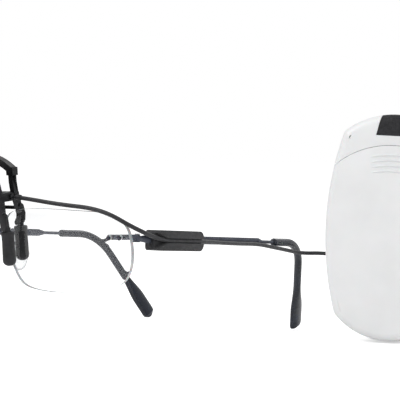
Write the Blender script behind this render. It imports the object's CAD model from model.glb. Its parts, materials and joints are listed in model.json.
"""Builds the looks of rimless spectacles with a clip-on lamp, its lead and its battery pack."""

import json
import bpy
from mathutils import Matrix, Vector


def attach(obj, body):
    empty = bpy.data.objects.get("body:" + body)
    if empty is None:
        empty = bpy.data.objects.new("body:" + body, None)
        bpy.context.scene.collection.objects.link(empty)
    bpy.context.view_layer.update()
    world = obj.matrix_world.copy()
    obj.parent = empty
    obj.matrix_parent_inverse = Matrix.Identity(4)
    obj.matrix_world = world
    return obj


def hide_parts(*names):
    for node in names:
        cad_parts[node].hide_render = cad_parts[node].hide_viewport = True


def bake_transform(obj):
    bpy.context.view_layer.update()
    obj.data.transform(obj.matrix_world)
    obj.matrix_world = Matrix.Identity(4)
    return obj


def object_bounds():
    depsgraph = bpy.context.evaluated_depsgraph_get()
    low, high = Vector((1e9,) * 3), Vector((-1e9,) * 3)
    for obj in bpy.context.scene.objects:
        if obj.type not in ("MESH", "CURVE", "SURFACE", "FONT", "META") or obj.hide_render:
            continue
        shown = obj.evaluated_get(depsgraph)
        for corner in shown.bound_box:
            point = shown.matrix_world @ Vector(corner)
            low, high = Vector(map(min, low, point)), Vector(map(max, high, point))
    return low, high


bl_info = {
    "name": "Clip-on lamp spectacles",
    "version": (1, 0, 0),
    "blender": (4, 5, 0),
    "location": "3D View > Sidebar > Spectacles",
    "description": "Makes the spectacles, the clip-on lamp, the lead and the battery pack",
    "category": "Add Mesh",
}

from math import atan2, cos, pi, radians, sin, tau

import bmesh
import bpy
from bpy.props import FloatProperty, FloatVectorProperty, PointerProperty
from mathutils import Matrix, Vector

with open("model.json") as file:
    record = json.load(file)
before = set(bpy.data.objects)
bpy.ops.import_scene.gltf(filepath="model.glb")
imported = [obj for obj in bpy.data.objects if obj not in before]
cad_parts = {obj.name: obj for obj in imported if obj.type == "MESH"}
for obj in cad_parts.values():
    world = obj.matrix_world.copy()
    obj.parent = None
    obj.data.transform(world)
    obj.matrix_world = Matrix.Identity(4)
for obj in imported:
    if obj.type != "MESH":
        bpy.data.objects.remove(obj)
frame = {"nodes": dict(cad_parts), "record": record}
CAD_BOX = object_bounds()
MM = 0.001
FLOOR_GAP = 0.2 * MM


# ---- Places -----------------------------------------------------------------------------------


def place(x=0.0, y=0.0, z=0.0):
    """A move in millimetres."""
    return Matrix.Translation(Vector((x, y, z)) * MM)


def turn(degrees, axis):
    """A turn about an axis through the origin."""
    return Matrix.Rotation(radians(degrees), 4, axis)


FRONT = place(0, -8, 2) @ turn(5, "X")
LENS = FRONT @ place(37.5, -0.8, 0) @ turn(5, "Z")
TEMPLE = place(64.4, 0.4, 6.5) @ turn(-3.5, "X") @ turn(6.4, "Z")
LAMP = FRONT @ place(0, -19.5, 19) @ turn(12, "X")
PACK = place(89.5, 121, 6.6) @ turn(20, "Z") @ turn(3, "Y")
MIRROR = Matrix.Scale(-1, 4, Vector((1, 0, 0)))


# ---- Sizes and colours that a user would change -----------------------------------------------


def length(name, description, default):
    """A length property, in metres."""
    return FloatProperty(name=name, description=description, default=default, min=0.0, unit="LENGTH",
                         precision=5)


def colour(name, description, default):
    """A colour property."""
    return FloatVectorProperty(name=name, description=description, default=default, size=3, subtype="COLOR",
                               min=0.0, max=1.0)


class LeadSettings(bpy.types.PropertyGroup):
    """Sizes and colour of the lead."""

    radius: length("Lead radius", "Half the lead's thickness", 0.75 * MM)
    pigtail_radius: length("Pigtail radius", "Half the thickness of the lamp's own short lead", 0.5 * MM)
    jacket: colour("Jacket", "Colour of the lead's jacket", (0.016, 0.016, 0.019))


class SpectacleSettings(bpy.types.PropertyGroup):
    """Sizes and colours of the spectacles."""

    soft_edge: length("Soft edge", "Rounding of the metal's edges", 0.16 * MM)
    tip_radius: length("Tip radius", "Half the thickness of a temple tip's tube", 1.5 * MM)
    metal: colour("Metal", "Colour of the coated metal", (0.055, 0.062, 0.085))
    tips: colour("Tips", "Colour of the temple tips", (0.004, 0.007, 0.016))
    pads: colour("Pads", "Colour of the nose pads", (0.93, 0.94, 0.945))


class ClipSettings(bpy.types.PropertyGroup):
    """Sizes and colours of the clip-on holder, the lamp and the lead's rubber clip."""

    soft_edge: length("Soft edge", "Rounding of the holder's edges", 0.18 * MM)
    sleeve_radius: length("Sleeve radius", "Half the thickness of a prong's sleeve", 2.35 * MM)
    holder: colour("Holder", "Colour of the holder's coating", (0.011, 0.011, 0.013))
    rubber: colour("Rubber", "Colour of the sleeves and the lead's clip", (0.014, 0.014, 0.016))
    lamp: colour("Lamp", "Colour of the lamp's body", (0.018, 0.018, 0.021))


class PackSettings(bpy.types.PropertyGroup):
    """Sizes and colours of the battery pack."""

    soft_edge: length("Soft edge", "Rounding of the shells' seams", 0.22 * MM)
    ridge: length("Ridge", "Half the width of one grip ridge", 0.45 * MM)
    shell: colour("Shell", "Colour of the moulded shells", (0.84, 0.845, 0.85))
    button: colour("Button", "Colour of the power button", (0.014, 0.014, 0.016))


class StageSettings(bpy.types.PropertyGroup):
    """Floor, lights and camera."""

    floor: colour("Floor", "Colour of the floor", (0.93, 0.93, 0.93))
    reach: length("Reach", "Half the floor's width", 6.0)


# ---- Finishes ---------------------------------------------------------------------------------


class Finish:
    """A material made of nodes, with the few chains that the finishes share."""

    def __init__(self, name):
        self.material = bpy.data.materials.new(name)
        self.material.use_nodes = True
        self.nodes = self.material.node_tree.nodes
        self.links = self.material.node_tree.links
        self.shader = self.nodes["Principled BSDF"]
        self.point = self.nodes.new("ShaderNodeTexCoord").outputs["Object"]
        self.normal = None

    def set(self, **values):
        """Sets constants on the shader's own sockets."""
        for name, value in values.items():
            self.shader.inputs[name.replace("_", " ")].default_value = value
        return self

    def noise(self, size, detail=3.0, stretch=None):
        """Noise whose features are about this many metres across."""
        texture = self.nodes.new("ShaderNodeTexNoise")
        texture.inputs["Scale"].default_value = 1.0 / size
        texture.inputs["Detail"].default_value = detail
        point = self.point
        if stretch:
            mapping = self.nodes.new("ShaderNodeMapping")
            mapping.inputs["Scale"].default_value = stretch
            self.links.new(point, mapping.inputs["Vector"])
            point = mapping.outputs["Vector"]
        self.links.new(point, texture.inputs["Vector"])
        return texture.outputs["Fac"]

    def spread(self, source, low, high, start=0.35, stop=0.65):
        """Maps a pattern's middle range to values between low and high."""
        ramp = self.nodes.new("ShaderNodeMapRange")
        ramp.inputs["From Min"].default_value = start
        ramp.inputs["From Max"].default_value = stop
        ramp.inputs["To Min"].default_value = low
        ramp.inputs["To Max"].default_value = high
        self.links.new(source, ramp.inputs["Value"])
        return ramp.outputs["Result"]

    def tint(self, source, first, second):
        """Base colour that runs from first to second with a pattern from 0 to 1."""
        mix = self.nodes.new("ShaderNodeMix")
        mix.data_type = "RGBA"
        mix.inputs["A"].default_value = (*first, 1)
        mix.inputs["B"].default_value = (*second, 1)
        self.links.new(source, mix.inputs["Factor"])
        self.links.new(mix.outputs["Result"], self.shader.inputs["Base Color"])
        return self

    def rough(self, source, low, high):
        """Roughness between low and high."""
        self.links.new(self.spread(source, low, high), self.shader.inputs["Roughness"])
        return self

    def bump(self, source, height, strength=1.0):
        """Adds relief of this many metres."""
        node = self.nodes.new("ShaderNodeBump")
        node.inputs["Strength"].default_value = strength
        node.inputs["Distance"].default_value = height
        self.links.new(source, node.inputs["Height"])
        if self.normal:
            self.links.new(self.normal, node.inputs["Normal"])
        self.normal = node.outputs["Normal"]
        self.links.new(self.normal, self.shader.inputs["Normal"])
        return self


def shade(rgb, factor):
    """A lighter or darker colour."""
    return tuple(min(1.0, value * factor) for value in rgb)


def coated_metal(name, rgb, rough=0.34):
    """Satin coating over metal: a fine orange peel and slightly uneven sheen."""
    finish = Finish(name).set(Metallic=0.55, Roughness=rough, Coat_Weight=0.25, Coat_Roughness=0.25)
    finish.tint(finish.spread(finish.noise(0.004), 0, 1), shade(rgb, 0.88), shade(rgb, 1.14))
    finish.rough(finish.noise(0.0016), rough - 0.06, rough + 0.08)
    finish.bump(finish.noise(0.00022, 2.0), 0.000006, 0.35)
    return finish.material


def bare_steel(name, rgb=(0.55, 0.56, 0.58), rough=0.28):
    """Machined or drawn steel with fine lengthwise marks."""
    finish = Finish(name).set(Metallic=1.0, Roughness=rough)
    finish.tint(finish.spread(finish.noise(0.0009), 0, 1), shade(rgb, 0.85), shade(rgb, 1.1))
    finish.rough(finish.noise(0.0005, 4.0, (1, 8, 8)), rough - 0.08, rough + 0.12)
    finish.bump(finish.noise(0.00012, 3.0, (1, 8, 8)), 0.000003, 0.4)
    return finish.material


def rubber(name, rgb, rough=0.72, grain=0.00025):
    """Moulded rubber: matt, with a fine grain and a little dust-grey unevenness."""
    finish = Finish(name).set(Roughness=rough, Specular_IOR_Level=0.35)
    finish.set(Sheen_Weight=0.12, Sheen_Roughness=0.6)
    finish.tint(finish.spread(finish.noise(0.0035, 4.0), 0, 1), shade(rgb, 0.8), shade(rgb, 1.35))
    finish.rough(finish.noise(0.001), rough - 0.1, rough + 0.1)
    finish.bump(finish.noise(grain, 3.0), 0.000012, 0.5)
    return finish.material


def polished_plastic(name, rgb, rough=0.2, translucent=0.0):
    """Polished acetate or moulding with faint clouds under a clear surface."""
    finish = Finish(name).set(Roughness=rough, Coat_Weight=0.1, Coat_Roughness=0.08)
    finish.set(Subsurface_Weight=translucent, Subsurface_Scale=0.002)
    finish.tint(finish.spread(finish.noise(0.006, 4.0), 0, 1), shade(rgb, 0.72), shade(rgb, 1.4))
    finish.rough(finish.noise(0.002), rough - 0.06, rough + 0.08)
    finish.bump(finish.noise(0.0012, 2.0), 0.00001, 0.15)
    return finish.material


def shell_plastic(name, rgb, rough=0.36):
    """White moulded shell: a spark-eroded grain, faint flow clouds and a soft sheen."""
    finish = Finish(name).set(Roughness=rough, Specular_IOR_Level=0.5, Coat_Weight=0.12, Coat_Roughness=0.3)
    finish.set(Subsurface_Weight=0.06, Subsurface_Scale=0.001)
    finish.tint(finish.spread(finish.noise(0.018, 4.0), 0, 1), shade(rgb, 0.965), shade(rgb, 1.02))
    finish.rough(finish.noise(0.0011), rough - 0.05, rough + 0.07)
    finish.bump(finish.noise(0.00035, 2.0), 0.000008, 0.3)
    return finish.material


def clear_lens(name, rgb, bend=1.5, gloss=0.0, rough=0.015):
    """Clear polished window or lens; a thin lens bends what lies behind it only a little."""
    finish = Finish(name).set(Base_Color=(*rgb, 1), Roughness=rough, Transmission_Weight=1.0, IOR=bend)
    finish.set(Coat_Weight=gloss, Coat_Roughness=0.02, Coat_IOR=1.5)
    finish.tint(finish.spread(finish.noise(0.03, 1.0), 0, 1), shade(rgb, 0.9), rgb)
    finish.rough(finish.noise(0.012), rough, rough + 0.02)
    return finish.material


def mirror_metal(name):
    """Metallised reflector."""
    finish = Finish(name).set(Metallic=1.0, Roughness=0.08)
    finish.tint(finish.spread(finish.noise(0.003), 0, 1), (0.82, 0.82, 0.83), (0.92, 0.92, 0.91))
    finish.bump(finish.noise(0.0008, 2.0), 0.00001, 0.2)
    return finish.material


def ridged_plastic(name, rgb):
    """Matt black moulding with a fine square grid of raised pips."""
    finish = Finish(name).set(Roughness=0.55, Specular_IOR_Level=0.4)
    finish.tint(finish.spread(finish.noise(0.002), 0, 1), shade(rgb, 0.85), shade(rgb, 1.6))
    finish.rough(finish.noise(0.0008), 0.45, 0.68)
    finish.bump(finish.noise(0.0003, 2.0), 0.000008, 0.3)
    return finish.material


def board_lacquer(name):
    """Green circuit board lacquer with faint tracks."""
    finish = Finish(name).set(Roughness=0.3, Coat_Weight=0.3, Coat_Roughness=0.15)
    tracks = finish.nodes.new("ShaderNodeTexBrick")
    tracks.inputs["Scale"].default_value = 260.0
    finish.links.new(finish.point, tracks.inputs["Vector"])
    finish.tint(tracks.outputs["Fac"], (0.012, 0.09, 0.035), (0.02, 0.16, 0.06))
    finish.bump(tracks.outputs["Fac"], 0.00003, 0.5)
    return finish.material


def cell_label(name, label):
    """A cell's printed metallic sleeve."""
    finish = Finish(name).set(Roughness=0.3, Coat_Weight=0.3, Coat_Roughness=0.1, Metallic=0.3)
    finish.tint(finish.spread(finish.noise(0.01), 0, 1), shade(label, 0.85), shade(label, 1.2))
    finish.rough(finish.noise(0.003), 0.22, 0.36)
    finish.bump(finish.noise(0.0015), 0.00001, 0.2)
    return finish.material


def strength_for_view(tree, seen, unseen):
    """A strength with one value as seen, directly or through a lens, and another as light."""
    rays = tree.nodes.new("ShaderNodeLightPath")
    either = tree.nodes.new("ShaderNodeMath")
    either.operation = "MAXIMUM"
    tree.links.new(rays.outputs["Is Camera Ray"], either.inputs[0])
    tree.links.new(rays.outputs["Is Transmission Ray"], either.inputs[1])
    ramp = tree.nodes.new("ShaderNodeMapRange")
    ramp.inputs["To Min"].default_value = unseen
    ramp.inputs["To Max"].default_value = seen
    tree.links.new(either.outputs["Value"], ramp.inputs["Value"])
    return ramp.outputs["Result"]


def floor_finish(name, rgb):
    """Plain white floor that keeps only the nearest shadows."""
    finish = Finish(name).set(Roughness=0.9, Specular_IOR_Level=0.1, Emission_Color=(1, 1, 1, 1))
    finish.tint(finish.spread(finish.noise(0.4), 0, 1), shade(rgb, 0.995), rgb)
    glow = strength_for_view(finish.material.node_tree, 0.5, 0.0)
    finish.links.new(glow, finish.shader.inputs["Emission Strength"])
    return finish.material


FINISHES = {}


def finish_of(name, maker, *values):
    """One material for each finish, made when it is first asked for."""
    if name not in FINISHES:
        FINISHES[name] = maker(name, *values)
    return FINISHES[name]


# ---- Making pieces ----------------------------------------------------------------------------


def add_piece(name, shape, body, slot, material, *replaced, crease=35):
    """Turns a bmesh into a smooth-shaded piece that rides on a body."""
    mesh = bpy.data.meshes.new(name)
    shape.to_mesh(mesh)
    shape.free()
    for face in mesh.polygons:
        face.use_smooth = True
    mesh.set_sharp_from_angle(angle=radians(crease))
    mesh.materials.append(material)
    piece = bpy.data.objects.new(name, mesh)
    bpy.context.scene.collection.objects.link(piece)
    if replaced:
        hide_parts(*replaced)
    if body:
        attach(piece, body)
    return piece


def body_of(node):
    """The CAD body that a node belongs to."""
    for body, members in frame["record"]["behaviour"]["bodies"].items():
        if node in members:
            return body
    raise RuntimeError(f"no body has the node {node}")


def copy_of(node, join=True):
    """A CAD node's shape as one welded bmesh, with its flat faces joined unless it is curved all over."""
    shape = bmesh.new()
    shape.from_mesh(frame["nodes"][node].data)
    bmesh.ops.remove_doubles(shape, verts=shape.verts, dist=0.002 * MM)
    if join:
        bmesh.ops.dissolve_limit(shape, angle_limit=radians(0.1), verts=shape.verts, edges=shape.edges)
    return shape


def round_edges(shape, width, sharp=38, segments=3, keep=None):
    """Rounds the edges where two faces meet at more than the sharp angle."""
    chosen = [edge for edge in shape.edges
              if len(edge.link_faces) == 2 and edge.calc_face_angle(0.0) > radians(sharp)
              and (keep is None or keep(edge))]
    bmesh.ops.bevel(shape, geom=chosen, offset=width, offset_type="OFFSET", segments=segments, profile=0.5,
                    affect="EDGES", clamp_overlap=True, material=-1)
    return shape


def refine(node, name, slot, material, width, sharp=38, segments=3, join=True):
    """Stands a copy of a CAD node with rounded edges in the node's place."""
    shape = round_edges(copy_of(node, join), width, sharp, segments)
    return add_piece(name, shape, body_of(node), slot, material, node)


def keep_node(node, material):
    """Shows a CAD node as it is, in its finish."""
    piece = frame["nodes"][node]
    piece.data.materials.clear()
    piece.data.materials.append(material)
    for face in piece.data.polygons:
        face.use_smooth = False
    return piece


def ring(shape, matrix, radius_x, radius_y=None, segments=32):
    """A ring of vertices across a piece: the start of a loft."""
    made = bmesh.ops.create_circle(shape, cap_ends=False, radius=1.0, segments=segments)["verts"]
    stretch = Matrix.Diagonal((radius_x, radius_y or radius_x, 1, 1))
    bmesh.ops.transform(shape, matrix=matrix @ stretch, verts=made)
    return made


def join_rings(shape, first, second):
    """Bridges two rings of vertices with a band of faces."""
    loops = [edge for edge in shape.edges
             if all(vert in first for vert in edge.verts) or all(vert in second for vert in edge.verts)]
    bmesh.ops.bridge_loops(shape, edges=loops)


def close_ring(shape, verts):
    """Fills a ring with one face."""
    bmesh.ops.contextual_create(shape, geom=verts)


def loft(stations, segments=32):
    """A closed skin through (matrix, radius across, radius up) stations."""
    shape = bmesh.new()
    rings = []
    for matrix, across, up in stations:
        rings.append(set(ring(shape, matrix, across, up, segments)))
    for first, second in zip(rings, rings[1:]):
        join_rings(shape, first, second)
    close_ring(shape, list(rings[0]))
    close_ring(shape, list(rings[-1]))
    bmesh.ops.recalc_face_normals(shape, faces=shape.faces)
    return shape


def lathe(profile, matrix, segments=64):
    """Turns a half profile of (radius, height) points in millimetres about Z, then places it."""
    shape = bmesh.new()
    verts = [shape.verts.new((radius * MM, 0, height * MM)) for radius, height in profile]
    edges = [shape.edges.new(pair) for pair in zip(verts, verts[1:])]
    bmesh.ops.spin(shape, geom=verts + edges, cent=(0, 0, 0), axis=(0, 0, 1), angle=tau, steps=segments,
                   use_merge=True, use_duplicate=False)
    bmesh.ops.remove_doubles(shape, verts=shape.verts, dist=0.001 * MM)
    bmesh.ops.recalc_face_normals(shape, faces=shape.faces)
    bmesh.ops.transform(shape, matrix=matrix, verts=shape.verts)
    return shape


def coil(matrix, radius, wire, height, turns, steps=28):
    """A helical spring along Z, with its middle at the matrix's origin."""
    shape = bmesh.new()
    section = bmesh.ops.create_circle(shape, cap_ends=False, radius=wire * MM, segments=10)["verts"]
    stand = Matrix.Translation((radius * MM, 0, -height * MM / 2)) @ Matrix.Rotation(pi / 2, 4, "X")
    bmesh.ops.transform(shape, matrix=stand, verts=section)
    bmesh.ops.spin(shape, geom=shape.edges[:] + shape.verts[:], cent=(0, 0, 0), axis=(0, 0, 1),
                   dvec=(0, 0, height * MM / (turns * steps)), angle=tau * turns, steps=turns * steps,
                   use_merge=False)
    bmesh.ops.holes_fill(shape, edges=[edge for edge in shape.edges if edge.is_boundary], sides=0)
    bmesh.ops.remove_doubles(shape, verts=shape.verts, dist=0.0005 * MM)
    bmesh.ops.recalc_face_normals(shape, faces=shape.faces)
    bmesh.ops.transform(shape, matrix=matrix, verts=shape.verts)
    return shape


def add_shape(shape, other):
    """Adds a second bmesh to the first."""
    spare = bpy.data.meshes.new("spare")
    other.to_mesh(spare)
    other.free()
    shape.from_mesh(spare)
    bpy.data.meshes.remove(spare)
    return shape


def mirror_shape(shape):
    """The same shape on the other side, facing outwards."""
    bmesh.ops.transform(shape, matrix=MIRROR, verts=shape.verts)
    bmesh.ops.reverse_faces(shape, faces=shape.faces)
    return shape


# ---- The lead ---------------------------------------------------------------------------------

LEAD_FRONT = [(16.6, -7.22, 19.43), (22.0, -6.8, 18.85), (30.5, -6.9, 17.9), (39.0, -6.95, 17.2),
              (48.0, -7.9, 16.75), (55.2, -8.45, 15.6), (59.7, -7.5, 13.9), (63.9, -5.6, 11.35),
              (66.3, -1.9, 9.15), (66.4, 3.6, 7.3), (66.13, 7.44, 6.32), (65.46, 12.55, 5.41),
              (64.76, 19.0, 5.01), (63.9, 26.44, 4.56)]
LEAD_BACK = [(63.9, 26.44, 4.56), (62.56, 38.34, 3.83), (60.27, 50.11, 2.76), (58.77, 62.99, 1.82),
             (57.23, 76.89, 1.02), (56.1, 87.7, -0.7), (55.3, 95.0, -1.8), (54.9, 101.0, -2.8),
             (54.6, 107.35, -3.8), (56.24, 111.4, -4.15)]
GLAND_END = (-26.5, 4.0, -12.3)
GLAND_RUN = (-30.3, 4.0, -12.3)
LAMP_PIGTAIL = [(0, -16.78, 12.57), (0, -13.9, 10.45), (0, -10.6, 9.75), (0, -8.14, 11.15), (0, -6.83, 13.85)]


def in_pack(point):
    """A point of the pack's own frame, in millimetres of the object's frame."""
    return tuple((PACK @ (Vector(point) * MM)) / MM)


def route_points(name, points):
    """A smooth line through a lead's control points, and the points along it, in metres."""
    curve = bpy.data.curves.new(name + "_route", "CURVE")
    curve.dimensions = "3D"
    curve.resolution_u = 24
    spline = curve.splines.new("NURBS")
    spline.points.add(len(points) - 1)
    for spot, point in zip(spline.points, points):
        spot.co = (*(Vector(point) * MM), 1.0)
    spline.order_u = 3
    spline.use_endpoint_u = True
    holder = bpy.data.objects.new(name + "_route", curve)
    bpy.context.scene.collection.objects.link(holder)
    bpy.context.view_layer.update()
    line = bpy.data.meshes.new_from_object(holder)
    path = [vert.co.copy() for vert in line.vertices]
    bpy.data.meshes.remove(line)
    bpy.data.objects.remove(holder)
    bpy.data.curves.remove(curve)
    return path


def tube_along(path, radius, segments=20):
    """A round tube along close points, without twist."""
    shape = bmesh.new()
    rings = []
    up = Vector((0, 0, 1))
    for index, spot in enumerate(path):
        ahead = (path[min(index + 1, len(path) - 1)] - path[max(index - 1, 0)]).normalized()
        side = up.cross(ahead).normalized()
        up = ahead.cross(side).normalized()
        stand = Matrix((side, up, ahead)).transposed().to_4x4()
        stand.translation = spot
        rings.append(ring(shape, stand, radius, radius, segments))
    for first, second in zip(rings, rings[1:]):
        join_rings(shape, set(first), set(second))
    close_ring(shape, rings[0])
    close_ring(shape, rings[-1])
    bmesh.ops.recalc_face_normals(shape, faces=shape.faces)
    return shape


class MakeLead(bpy.types.Operator):
    """Makes the lead from the clip-on to the pack, and the lamp's own short lead."""

    bl_idname = "spectacles.make_lead"
    bl_label = "Lead"

    def execute(self, context):
        settings = context.scene.lead_settings
        jacket = finish_of("lead_jacket", rubber, tuple(settings.jacket), 0.5, 0.0004)
        back_points = LEAD_BACK + [in_pack(GLAND_RUN), in_pack(GLAND_END)]
        over_lens, temple_mouth, temple_rear = (40.0, -7.0, 17.0), (66.3, 5.0, 7.0), (60.9, 34.8, 4.2)
        front, temple = "spectacle_front", "left_temple"
        for name, points, ends, start, end in (
                ("lead_front_tube", LEAD_FRONT, (front, temple), over_lens, temple_mouth),
                ("lead_back_tube", back_points, (temple, front), temple_rear, back_points[-1])):
            path = route_points(name, points)
            piece = add_piece(name, tube_along(path, settings.radius), None, "lead", jacket,
                              name.replace("_tube", ""))
            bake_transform(piece)
        path = route_points("lamp_pigtail", LAMP_PIGTAIL)
        shape = tube_along(path, settings.pigtail_radius)
        piece = add_piece("lamp_pigtail_tube", shape, None, "lead", jacket, "lamp_pigtail")
        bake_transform(piece)
        return {"FINISHED"}


# ---- Lenses and the metal of the front --------------------------------------------------------


EDGE_FACING = 0.55


class MakeLenses(bpy.types.Operator):
    """Makes both lenses with softened rims and a ground edge."""

    bl_idname = "spectacles.make_lenses"
    bl_label = "Lenses"

    def execute(self, context):
        clear = finish_of("lens_clear", clear_lens, (0.9, 0.905, 0.91), 1.06, 0.8)
        ground = finish_of("lens_edge", polished_plastic, (0.42, 0.44, 0.45), 0.35, 0.3)
        facing = LENS.to_3x3() @ Vector((0, 1, 0))
        for side in ("left", "right"):
            piece = refine(f"lens_{side}", f"lens_{side}_polished", "lens", clear, 0.22 * MM, sharp=50)
            piece.data.materials.append(ground)
            for face in piece.data.polygons:
                face.material_index = int(abs(face.normal.dot(facing)) < EDGE_FACING)
            facing.x = -facing.x
        return {"FINISHED"}


class MakeFront(bpy.types.Operator):
    """Makes the bridge, the end pieces, the pad arms, the bushes and the hinge screws."""

    bl_idname = "spectacles.make_front"
    bl_label = "Bridge and end pieces"

    def execute(self, context):
        settings = context.scene.spectacle_settings
        metal = finish_of("front_metal", coated_metal, tuple(settings.metal))
        steel = finish_of("screw_steel", bare_steel)
        clear = finish_of("bush_clear", clear_lens, (0.85, 0.87, 0.88), 1.08, 0.3)
        refine("bridge", "bridge_arch", "frame_metal", metal, settings.soft_edge)
        for side in ("left", "right"):
            refine(f"endpiece_{side}", f"endpiece_{side}_bar", "frame_metal", metal, settings.soft_edge)
            refine(f"nose_pad_arm_{side}", f"pad_arm_{side}", "frame_metal", metal, 0.05 * MM)
        refine("lens_bushes", "post_bushes", "bush", clear, 0.08 * MM, sharp=60)
        refine("hinge_screws", "hinge_screw_pair", "screw", steel, 0.06 * MM)
        return {"FINISHED"}


class MakeNosePads(bpy.types.Operator):
    """Makes the two soft nose pads with their sockets."""

    bl_idname = "spectacles.make_nose_pads"
    bl_label = "Nose pads"

    def execute(self, context):
        settings = context.scene.spectacle_settings
        silicone = finish_of("pad_silicone", clear_lens, tuple(settings.pads), 1.12, 0.2, 0.12)
        for side in ("left", "right"):
            refine(f"nose_pad_{side}", f"nose_pad_{side}_soft", "pad", silicone, 0.2 * MM)
        return {"FINISHED"}


# ---- Temples ----------------------------------------------------------------------------------

TIP_START = 90.5
TIP_BEND = 111.8
TIP_RUN = Vector((-11.5, 21.2, -33.1))
BEND_RADIUS = 18.0
PADDLE_LENGTH = 19.0
PADDLE_HALF_WIDTH = 3.5
PADDLE_HALF_THICKNESS = 1.4


def eased(value):
    """A smooth step from 0 to 1."""
    value = max(0.0, min(1.0, value))
    return value * value * (3 - 2 * value)


def tip_stations(radius):
    """Sections of a temple tip: a collar, a round tube, the bend, and a flat rounded paddle."""
    corner = Vector((0, TIP_BEND, 0))
    ahead, down = Vector((0, 1, 0)), TIP_RUN.normalized()
    bend = ahead.angle(down)
    tangent = BEND_RADIUS * (sin(bend / 2) / cos(bend / 2))
    arc_start = corner - ahead * tangent
    inwards = (down - ahead * down.dot(ahead)).normalized()
    tip_length = (corner + TIP_RUN - (corner + down * tangent)).length
    stations = []

    def add(spot, direction, across, up):
        side = inwards.cross(ahead).normalized()
        upright = direction.cross(side).normalized()
        stand = Matrix((side, upright, direction)).transposed().to_4x4()
        stand.translation = spot * MM
        stations.append((TEMPLE @ stand, across * MM, up * MM))

    full = radius / MM
    for along, share in ((0.0, 0.62), (0.15, 0.8), (0.45, 0.93), (0.9, 1.0), (1.6, 1.0), (4.0, 0.97),
                         (8.0, 1.0)):
        add(Vector((0, TIP_START + along, 0)), ahead, full * share, full * share)
    for step in range(15):
        angle = bend * step / 14
        spot = arc_start + ahead * BEND_RADIUS * sin(angle) + inwards * BEND_RADIUS * (1 - cos(angle))
        direction = ahead * cos(angle) + inwards * sin(angle)
        add(spot, direction, full, full)
    straight = corner + down * tangent
    paddle_from = tip_length - PADDLE_LENGTH - 1.0
    for step in range(1, 31):
        along = tip_length * step / 30
        grown = eased((along - paddle_from) / 12.0)
        # The paddle's end closes in a half round.
        left = tip_length + 1.6 - along
        close = (1 - max(0.0, 1 - left / 2.7) ** 2) ** 0.5
        across = full + (PADDLE_HALF_THICKNESS - full) * grown
        up = full + (PADDLE_HALF_WIDTH - full) * grown
        add(straight + down * along, down, across * min(1.0, close + 0.1), up * close)
    for beyond, share in ((0.7, 0.62), (1.2, 0.42), (1.5, 0.2)):
        spot = straight + down * (tip_length + beyond)
        add(spot, down, PADDLE_HALF_THICKNESS * share, PADDLE_HALF_WIDTH * share)
    return stations


class MakeTemples(bpy.types.Operator):
    """Makes both temples' bars and their plastic tips."""

    bl_idname = "spectacles.make_temples"
    bl_label = "Temples"

    def execute(self, context):
        settings = context.scene.spectacle_settings
        metal = finish_of("temple_metal", coated_metal, tuple(settings.metal))
        acetate = finish_of("tip_acetate", polished_plastic, tuple(settings.tips), 0.22)
        for side in ("left", "right"):
            refine(f"temple_{side}", f"temple_{side}_bar", "temple_metal", metal, settings.soft_edge)
            shape = loft(tip_stations(settings.tip_radius), 28)
            if side == "right":
                mirror_shape(shape)
            add_piece(f"temple_{side}_tip", shape, f"{side}_temple", "tip", acetate, f"temple_tip_{side}")
        return {"FINISHED"}


# ---- The lead's rubber clip on the left temple ------------------------------------------------


class MakeCableClip(bpy.types.Operator):
    """Makes the grooved rubber clip that holds the lead to the temple."""

    bl_idname = "spectacles.make_cable_clip"
    bl_label = "Lead clip"

    def execute(self, context):
        settings = context.scene.clip_settings
        black = finish_of("clip_rubber", rubber, tuple(settings.rubber), 0.62)
        refine("cable_clip", "cable_clip_moulding", "cable_clip", black, 0.4 * MM, sharp=42, segments=4)
        return {"FINISHED"}


# ---- Clip-on holder ---------------------------------------------------------------------------


PRONG_X = 15.3
SLEEVES = (("rear_prong_sleeves", "sleeves_rear", 3.0, -4.6, 7.5),
           ("front_prong_sleeves", "sleeves_front", -3.75, -5.7, 6.1))


def sleeve_shape(v, low, high, radius):
    """A rubber sleeve with a rounded foot, a slight waist and a rolled rim round its open top."""
    bore = 1.18
    full = radius / MM
    profile = [(0.0, low), (full * 0.38, low + 0.12), (full * 0.72, low + 0.55), (full * 0.93, low + 1.2),
               (full, low + 2.1), (full * 0.97, low + 3.6),
               (full * 0.93, high - 3.2), (full * 0.95, high - 1.6),
               (full * 0.99, high - 0.9), (full, high - 0.45), (full * 0.94, high - 0.1), (full * 0.8, high),
               (full * 0.68, high - 0.12), (bore, high - 0.6), (bore, high - 2.2), (0.0, high - 2.2)]
    return lathe(profile, FRONT @ place(PRONG_X, v, 0), 48)


class MakeHolder(bpy.types.Operator):
    """Makes the clip-on's frame, its sprung jaw, their sleeves, the pin and the spring."""

    bl_idname = "spectacles.make_holder"
    bl_label = "Clip-on holder"

    def execute(self, context):
        settings = context.scene.clip_settings
        black = finish_of("holder_black", coated_metal, tuple(settings.holder), 0.46)
        soft = finish_of("sleeve_rubber", rubber, tuple(settings.rubber), 0.66)
        wire = finish_of("spring_steel", bare_steel, (0.6, 0.6, 0.6), 0.22)
        refine("clip_frame", "holder_frame", "clip_metal", black, settings.soft_edge)
        refine("front_jaw", "holder_jaw", "clip_metal", black, settings.soft_edge)
        dark = finish_of("pin_black", bare_steel, (0.06, 0.06, 0.065))
        refine("jaw_pin", "holder_pin", "screw", dark, 0.12 * MM)
        for node, name, v, low, high in SLEEVES:
            shape = sleeve_shape(v, low, high, settings.sleeve_radius)
            add_shape(shape, mirror_shape(sleeve_shape(v, low, high, settings.sleeve_radius)))
            add_piece(name, shape, body_of(node), "sleeve", soft, node)
        spring = coil(FRONT @ place(7.0, -0.6, 18.0) @ turn(90, "Y"), 1.6, 0.32, 7.0, 8)
        add_piece("holder_spring", spring, "spectacle_front", "spring", wire, "jaw_spring")
        return {"FINISHED"}


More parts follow.
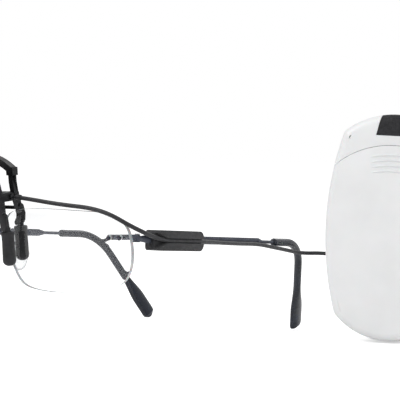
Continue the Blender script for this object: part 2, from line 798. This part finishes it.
# ---- Lamp -------------------------------------------------------------------------------------

LAMP_RADIUS = 8.4
LAMP_INNER = 7.2
LAMP_FRONT = -9.0


def knurl(shape, matrix, inside, outside, depth):
    """Presses every second row of a turned rim inwards, between two radii."""
    undo = matrix.inverted()
    for vert in shape.verts:
        local = (undo @ vert.co) / MM
        reach = (local.x ** 2 + local.y ** 2) ** 0.5
        row = round(atan2(local.y, local.x) / tau * 96)
        if inside < reach < outside and row % 2:
            local.xy *= (reach - depth) / reach
            vert.co = matrix @ (local * MM)
    return shape


class MakeLamp(bpy.types.Operator):
    """Makes the lamp: body, knurled bezel, window, reflector, emitter, finned cap, tilt screws and boots."""

    bl_idname = "spectacles.make_lamp"
    bl_label = "Lamp"

    def execute(self, context):
        settings = context.scene.clip_settings
        anodised = finish_of("lamp_anodised", coated_metal, tuple(settings.lamp), 0.38)
        steel = finish_of("screw_steel", bare_steel)
        boot = finish_of("lead_jacket", rubber, tuple(context.scene.lead_settings.jacket), 0.5, 0.0004)
        refine("lamp_housing", "lamp_body", "lamp_metal", anodised, 0.2 * MM)
        refine("lamp_rear_cap", "lamp_fins", "lamp_metal", anodised, 0.14 * MM)
        refine("lamp_tilt_screws", "lamp_tilt_knobs", "screw", steel, 0.14 * MM)
        window = finish_of("window_clear", clear_lens, (0.97, 0.98, 0.98))
        refine("lamp_lens", "lamp_window", "lamp_glass", window, 0.12 * MM)
        refine("lamp_lead_boot", "lamp_boot", "lead", boot, 0.2 * MM)
        refine("frame_lead_boots", "holder_boots", "lead", boot, 0.2 * MM)
        stand = LAMP @ place(0, LAMP_FRONT, 0) @ turn(90, "X")
        rim = LAMP_RADIUS + 0.5
        profile = [(LAMP_INNER, 0.0), (rim - 0.25, 0.0), (rim, 0.22), (rim, 1.05), (rim - 0.35, 1.4),
                   (LAMP_INNER - 0.2, 1.4), (LAMP_INNER - 0.7, 1.1), (LAMP_INNER - 0.7, 0.0),
                   (LAMP_INNER, 0.0)]
        bezel = knurl(lathe(profile, stand, 96), stand, rim - 0.05, rim + 0.1, 0.14)
        add_piece("lamp_front_ring", bezel, "lamp", "lamp_metal", anodised, "lamp_bezel")
        keep_node("reflector", finish_of("reflector_mirror", mirror_metal))
        keep_node("led_board", finish_of("core_metal", bare_steel, (0.7, 0.7, 0.68), 0.4))
        phosphor = finish_of("phosphor", polished_plastic, (0.85, 0.68, 0.16), 0.25, 0.4)
        keep_node("led_emitter", phosphor)
        return {"FINISHED"}


# ---- Battery pack -----------------------------------------------------------------------------

PACK_HALF_DEPTH = 12.0
PACK_TOP = 42.5
PACK_TOP_CURVE = 30.66
PACK_EDGE = 3.2
COVER_ARCH_CURVE = 33.0
COVER_ARCH_TOP = 31.0
RIDGES = 4
RIDGE_PITCH = 2.0
RIDGE_HALF_SPAN = 9.0


def bead(points, radius):
    """A slim half-sunk bead along points of the pack's front, with tapered ends."""
    stations = []
    for index, spot in enumerate(points):
        ahead = (points[min(index + 1, len(points) - 1)] - points[max(index - 1, 0)]).normalized()
        side = Vector((0, 1, 0)).cross(ahead).normalized()
        stand = Matrix((side, ahead.cross(side), ahead)).transposed().to_4x4()
        stand.translation = spot * MM
        end = min(index, len(points) - 1 - index)
        share = (0.25, 0.7, 0.92)[end] if end < 3 else 1.0
        stations.append((PACK @ stand, radius * share, radius * share))
    return loft(stations, 10)


def cover_ridges(radius):
    """The arched grip ridges under the cover's upper edge."""
    shape = bmesh.new()
    for index in range(RIDGES):
        drop = 3.6 + RIDGE_PITCH * index
        half = RIDGE_HALF_SPAN - 0.35 * index
        points = []
        for step in range(21):
            x = half * (step / 10 - 1)
            fall = COVER_ARCH_CURVE - (COVER_ARCH_CURVE ** 2 - x ** 2) ** 0.5
            points.append(Vector((x, -PACK_HALF_DEPTH + 0.12, COVER_ARCH_TOP - drop - fall)))
        add_shape(shape, bead(points, radius))
    return shape


def button_ribs(radius):
    """A square net of ribs over the power button's face and its rounded top."""
    shape = bmesh.new()

    def face_point(x, along):
        """A point of the button's surface, a distance up from its lower edge."""
        top = PACK_TOP - (PACK_TOP_CURVE - (PACK_TOP_CURVE ** 2 - x ** 2) ** 0.5)
        straight = top - PACK_EDGE - 34.9
        if along <= straight:
            return Vector((x, -PACK_HALF_DEPTH + 0.05, 34.9 + along))
        angle = min((along - straight) / PACK_EDGE, pi / 2)
        lift = PACK_EDGE - 0.05
        depth = -PACK_HALF_DEPTH + PACK_EDGE - lift * cos(angle)
        return Vector((x, depth, top - PACK_EDGE + lift * sin(angle)))

    rise = 8.2
    half_low, taper = 6.2, 0.225
    columns, rows = 4, 6
    for column in range(-columns, columns + 1):
        x = half_low * column / columns
        points = []
        for step in range(17):
            narrowed = x * (1 - taper / half_low * rise * step / 16)
            points.append(face_point(narrowed, rise * step / 16))
        add_shape(shape, bead(points, radius))
    for row in range(rows):
        along = 0.5 + row * 1.45
        half = half_low - taper * along
        points = [face_point(half * (step / 10 - 1), along) for step in range(21)]
        add_shape(shape, bead(points, radius))
    return shape


CELL_PITCH = 10.7


def cell_shape(index):
    """A cell turned from its half profile: can, crimp, shoulder and nub."""
    flip = turn(0 if index != 2 else 180, "X")
    stand = PACK @ place(CELL_PITCH * (index - 2), -3.4, -5.0) @ flip
    half, body = 21.75, 5.2
    profile = [(0.0, -half), (4.2, -half), (4.5, -half + 0.25), (4.9, -half + 0.1), (body, -half + 0.5),
               (body, half - 0.6), (body - 0.25, half - 0.15), (4.5, half - 0.1), (4.2, half - 0.3),
               (2.1, half - 0.3), (1.9, half + 0.1), (1.85, half + 0.75), (1.6, half + 0.9),
               (0.0, half + 0.9)]
    return lathe(profile, stand, 48)


class MakePack(bpy.types.Operator):
    """Makes the pack's shells, its cover with grip ridges, the button, the gland and the screws."""

    bl_idname = "spectacles.make_pack"
    bl_label = "Battery pack"

    def execute(self, context):
        settings = context.scene.pack_settings
        white = finish_of("shell_white", shell_plastic, tuple(settings.shell))
        black = finish_of("button_black", ridged_plastic, tuple(settings.button))
        steel = finish_of("screw_steel", bare_steel)
        soft = finish_of("gland_rubber", rubber, (0.03, 0.03, 0.034), 0.6)
        refine("pack_back_shell", "pack_back", "pack_shell", white, settings.soft_edge, sharp=45, join=False)
        refine("pack_front_shell", "pack_top", "pack_shell", white, settings.soft_edge, sharp=45, join=False)
        cover = round_edges(copy_of("battery_cover"), settings.soft_edge, 45)
        add_shape(cover, cover_ridges(settings.ridge))
        add_piece("pack_cover", cover, "cover", "pack_shell", white, "battery_cover")
        button = round_edges(copy_of("power_button"), 0.3 * MM, 45)
        add_shape(button, button_ribs(0.16 * MM))
        add_piece("pack_button", button, "button", "button", black, "power_button")
        refine("pack_lead_gland", "pack_gland", "gland", soft, 0.25 * MM)
        refine("pack_screws", "pack_screw_pair", "screw", steel, 0.1 * MM)
        return {"FINISHED"}


class MakePackInside(bpy.types.Operator):
    """Makes the cells, their tray and contacts, the board, the switch and the springs."""

    bl_idname = "spectacles.make_pack_inside"
    bl_label = "Inside the pack"

    def execute(self, context):
        wire = finish_of("spring_steel", bare_steel, (0.6, 0.6, 0.6), 0.22)
        label = finish_of("cell_sleeve", cell_label, (0.03, 0.10, 0.13))
        for index in (1, 2, 3):
            node = f"battery_{index}"
            add_piece(f"cell_{index}", cell_shape(index), "spectacle_front", "cell", label, node)
        tray = finish_of("tray_black", rubber, (0.035, 0.035, 0.038), 0.5)
        refine("cell_tray", "cell_cradle", "tray", tray, 0.2 * MM)
        contact = finish_of("contact_nickel", bare_steel, (0.72, 0.68, 0.6), 0.3)
        keep_node("contact_plates", contact)
        coils = bmesh.new()
        for column, end in ((-1, -1), (0, 1), (1, -1)):
            middle = CELL_PITCH * column, -1.0, -5.0 + end * 22.65
            add_shape(coils, coil(PACK @ place(*middle), 1.7, 0.25, 1.7, 3))
        add_piece("cell_contact_coils", coils, "spectacle_front", "spring", wire, "contact_springs")
        keep_node("circuit_board", finish_of("board_green", board_lacquer))
        keep_node("switch", finish_of("switch_black", ridged_plastic, (0.03, 0.03, 0.033)))
        button_coil = coil(PACK @ place(0, -3.1, 36.4) @ turn(90, "X"), 1.62, 0.25, 12.2, 7)
        add_piece("button_coil", button_coil, "spectacle_front", "spring", wire, "button_spring")
        return {"FINISHED"}


BELT_PIN_OUT = 4.2
BELT_PIN_Z = 24.0
BELT_PLATE_FACE = PACK_HALF_DEPTH + BELT_PIN_OUT + 2.3 + 1.6


class MakeBeltClip(bpy.types.Operator):
    """Makes the pack's sprung belt clip, its pin and its spring."""

    bl_idname = "spectacles.make_belt_clip"
    bl_label = "Belt clip"

    def execute(self, context):
        white = finish_of("clip_white", shell_plastic, (0.66, 0.67, 0.675), 0.42)
        steel = finish_of("screw_steel", bare_steel)
        wire = finish_of("spring_steel", bare_steel, (0.6, 0.6, 0.6), 0.22)
        plate = round_edges(copy_of("belt_clip"), 0.35 * MM, 45)
        for row in range(4):
            z = 33.4 - 1.7 * row
            points = [Vector((5.6 * (step / 6 - 1), BELT_PLATE_FACE - 0.1, z)) for step in range(13)]
            add_shape(plate, bead(points, 0.4 * MM))
        add_piece("belt_clip_plate", plate, "pocket_clip", "pack_clip", white, "belt_clip")
        refine("belt_clip_pin", "belt_pin", "screw", steel, 0.15 * MM)
        stand = PACK @ place(0, PACK_HALF_DEPTH + BELT_PIN_OUT, BELT_PIN_Z) @ turn(90, "Y")
        spring = coil(stand, 1.6, 0.35, 4.0, 5)
        add_piece("belt_coil", spring, "spectacle_front", "spring", wire, "belt_clip_spring")
        return {"FINISHED"}


# ---- Stage ------------------------------------------------------------------------------------


def area_light(name, spot, aim, size, power, tone=(1.0, 1.0, 1.0)):
    """A soft square light at a spot in metres, aimed at a point."""
    lamp = bpy.data.lights.new(name, "AREA")
    lamp.shape = "SQUARE"
    lamp.size = size
    lamp.energy = power
    lamp.color = tone
    holder = bpy.data.objects.new(name, lamp)
    bpy.context.scene.collection.objects.link(holder)
    holder.location = spot
    holder.rotation_euler = (Vector(aim) - Vector(spot)).to_track_quat("-Z", "Y").to_euler()
    return holder


class MakeStage(bpy.types.Operator):
    """Makes the camera, the pale floor, the soft lights and the plain surroundings."""

    bl_idname = "spectacles.make_stage"
    bl_label = "Stage"

    def execute(self, context):
        settings = context.scene.stage_settings
        lens = bpy.data.cameras.new("view")
        lens.sensor_width = 36.0
        lens.lens = 151.2
        camera = bpy.data.objects.new("view", lens)
        context.scene.collection.objects.link(camera)
        eye, aim = Vector((0.4202, -0.4281, 0.0369)), Vector((0.0646, 0.032, 0.0186))
        camera.location = eye
        camera.rotation_euler = (aim - eye).to_track_quat("-Z", "Y").to_euler()
        context.scene.camera = camera

        ground = bmesh.new()
        made = bmesh.ops.create_grid(ground, x_segments=2, y_segments=2, size=settings.reach)["verts"]
        level = CAD_BOX[0][2] - FLOOR_GAP
        bmesh.ops.translate(ground, verts=made, vec=(0, 0, level))
        white = finish_of("floor_white", floor_finish, tuple(settings.floor))
        mesh = bpy.data.meshes.new("floor")
        ground.to_mesh(mesh)
        ground.free()
        mesh.materials.append(white)
        floor = bpy.data.objects.new("floor", mesh)
        context.scene.collection.objects.link(floor)

        world = bpy.data.worlds.new("studio")
        world.use_nodes = True
        backdrop = world.node_tree.nodes["Background"]
        backdrop.inputs["Color"].default_value = (1.0, 1.0, 1.0, 1)
        world.node_tree.links.new(strength_for_view(world.node_tree, 1.0, 0.62), backdrop.inputs["Strength"])
        context.scene.world = world
        context.scene.view_settings.view_transform = "Standard"
        aim = (0.05, 0.04, 0.0)
        area_light("key", (-0.35, -0.55, 0.75), aim, 0.5, 4.0)
        area_light("fill", (0.9, -0.35, 0.35), aim, 0.7, 1.3)
        area_light("back", (0.0, 0.9, 0.8), aim, 0.8, 2.4)
        return {"FINISHED"}


# ---- Panel and registration -------------------------------------------------------------------


SETTINGS = (("lead_settings", LeadSettings), ("spectacle_settings", SpectacleSettings),
            ("clip_settings", ClipSettings), ("pack_settings", PackSettings),
            ("stage_settings", StageSettings))
STEPS = (MakeStage, MakeLead, MakeLenses, MakeFront, MakeNosePads, MakeTemples, MakeCableClip, MakeHolder,
         MakeLamp, MakePack, MakePackInside, MakeBeltClip)


class SpectaclesPanel(bpy.types.Panel):
    """Lists the steps and their settings."""

    bl_idname = "VIEW3D_PT_spectacles"
    bl_label = "Clip-on lamp spectacles"
    bl_space_type = "VIEW_3D"
    bl_region_type = "UI"
    bl_category = "Spectacles"

    def draw(self, context):
        for step in STEPS:
            self.layout.operator(step.bl_idname)
        for name, group in SETTINGS:
            box = self.layout.box()
            for entry in group.__annotations__:
                box.prop(getattr(context.scene, name), entry)


def register():
    """Registers the settings, the steps and the panel."""
    for name, group in SETTINGS:
        bpy.utils.register_class(group)
        setattr(bpy.types.Scene, name, PointerProperty(type=group))
    for step in (*STEPS, SpectaclesPanel):
        bpy.utils.register_class(step)


def unregister():
    """Takes them all away again."""
    for step in reversed((*STEPS, SpectaclesPanel)):
        bpy.utils.unregister_class(step)
    for name, group in reversed(SETTINGS):
        delattr(bpy.types.Scene, name)
        bpy.utils.unregister_class(group)


def main():
    """Builds everything in order, then notes the object's size."""
    register()
    for step in STEPS:
        family, action = step.bl_idname.split(".")
        getattr(getattr(bpy.ops, family), action)()


if __name__ == "__main__":
    main()
